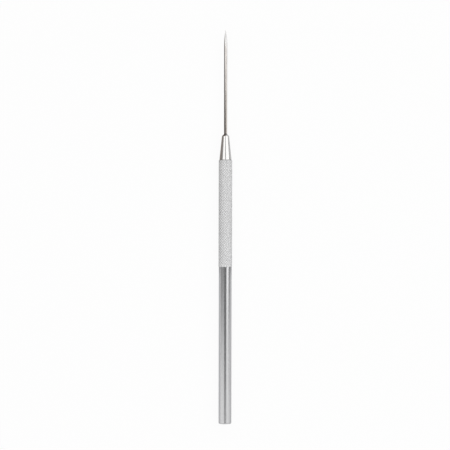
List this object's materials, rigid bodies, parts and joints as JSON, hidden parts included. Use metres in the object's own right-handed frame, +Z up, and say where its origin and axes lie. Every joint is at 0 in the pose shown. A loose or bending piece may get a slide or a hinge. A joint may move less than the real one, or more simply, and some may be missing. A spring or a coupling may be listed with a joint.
{
  "type": "pottery needle tool",
  "caption": "Needle tool for clay: a long steel point held by a conical screw-down nose and split collet in a slim round metal handle with a knurled grip and a plain barrel.",
  "frame": {"origin": "centre of the tool's outline seen from above, on the surface that it lies on", "axes": "+Y along the tool from the butt to the needle's point, +Z up, +X to the right"},
  "size_m": [0.0054, 0.1576, 0.0055],
  "materials": {
    "handle_aluminium": "drawn satin barrel with fine lengthwise streaks, matte diamond-knurled grip",
    "nose_plating": "polished nickel plate",
    "collet_brass": "turned brass",
    "needle_steel": "ground and drawn tool steel, slightly warm"
  },
  "bodies": {
    "handle": {"handle": "handle_aluminium"},
    "collet": {"collet": "collet_brass"},
    "nose_cap": {"nose_cap": "nose_plating"},
    "needle": {"needle": "needle_steel"}
  },
  "joints": [
    {"name": "nose_travel", "type": "slide", "parent": "handle", "child": "collet", "axis": [0, 1, 0], "range_m": [0, 0.003]},
    {"name": "nose_turn", "type": "hinge", "parent": "collet", "child": "nose_cap", "pos_m": [0, 0.0267, 0.00273], "axis": [0, 1, 0], "range_deg": [0, 1800]},
    {"name": "needle_draw", "type": "slide", "parent": "collet", "child": "needle", "axis": [0, 1, 0], "range_m": [0, 0.01858]}
  ],
  "couplings": [
    {"joint": "nose_turn", "follows": "nose_travel", "rad_per_m": 10472}
  ]
}
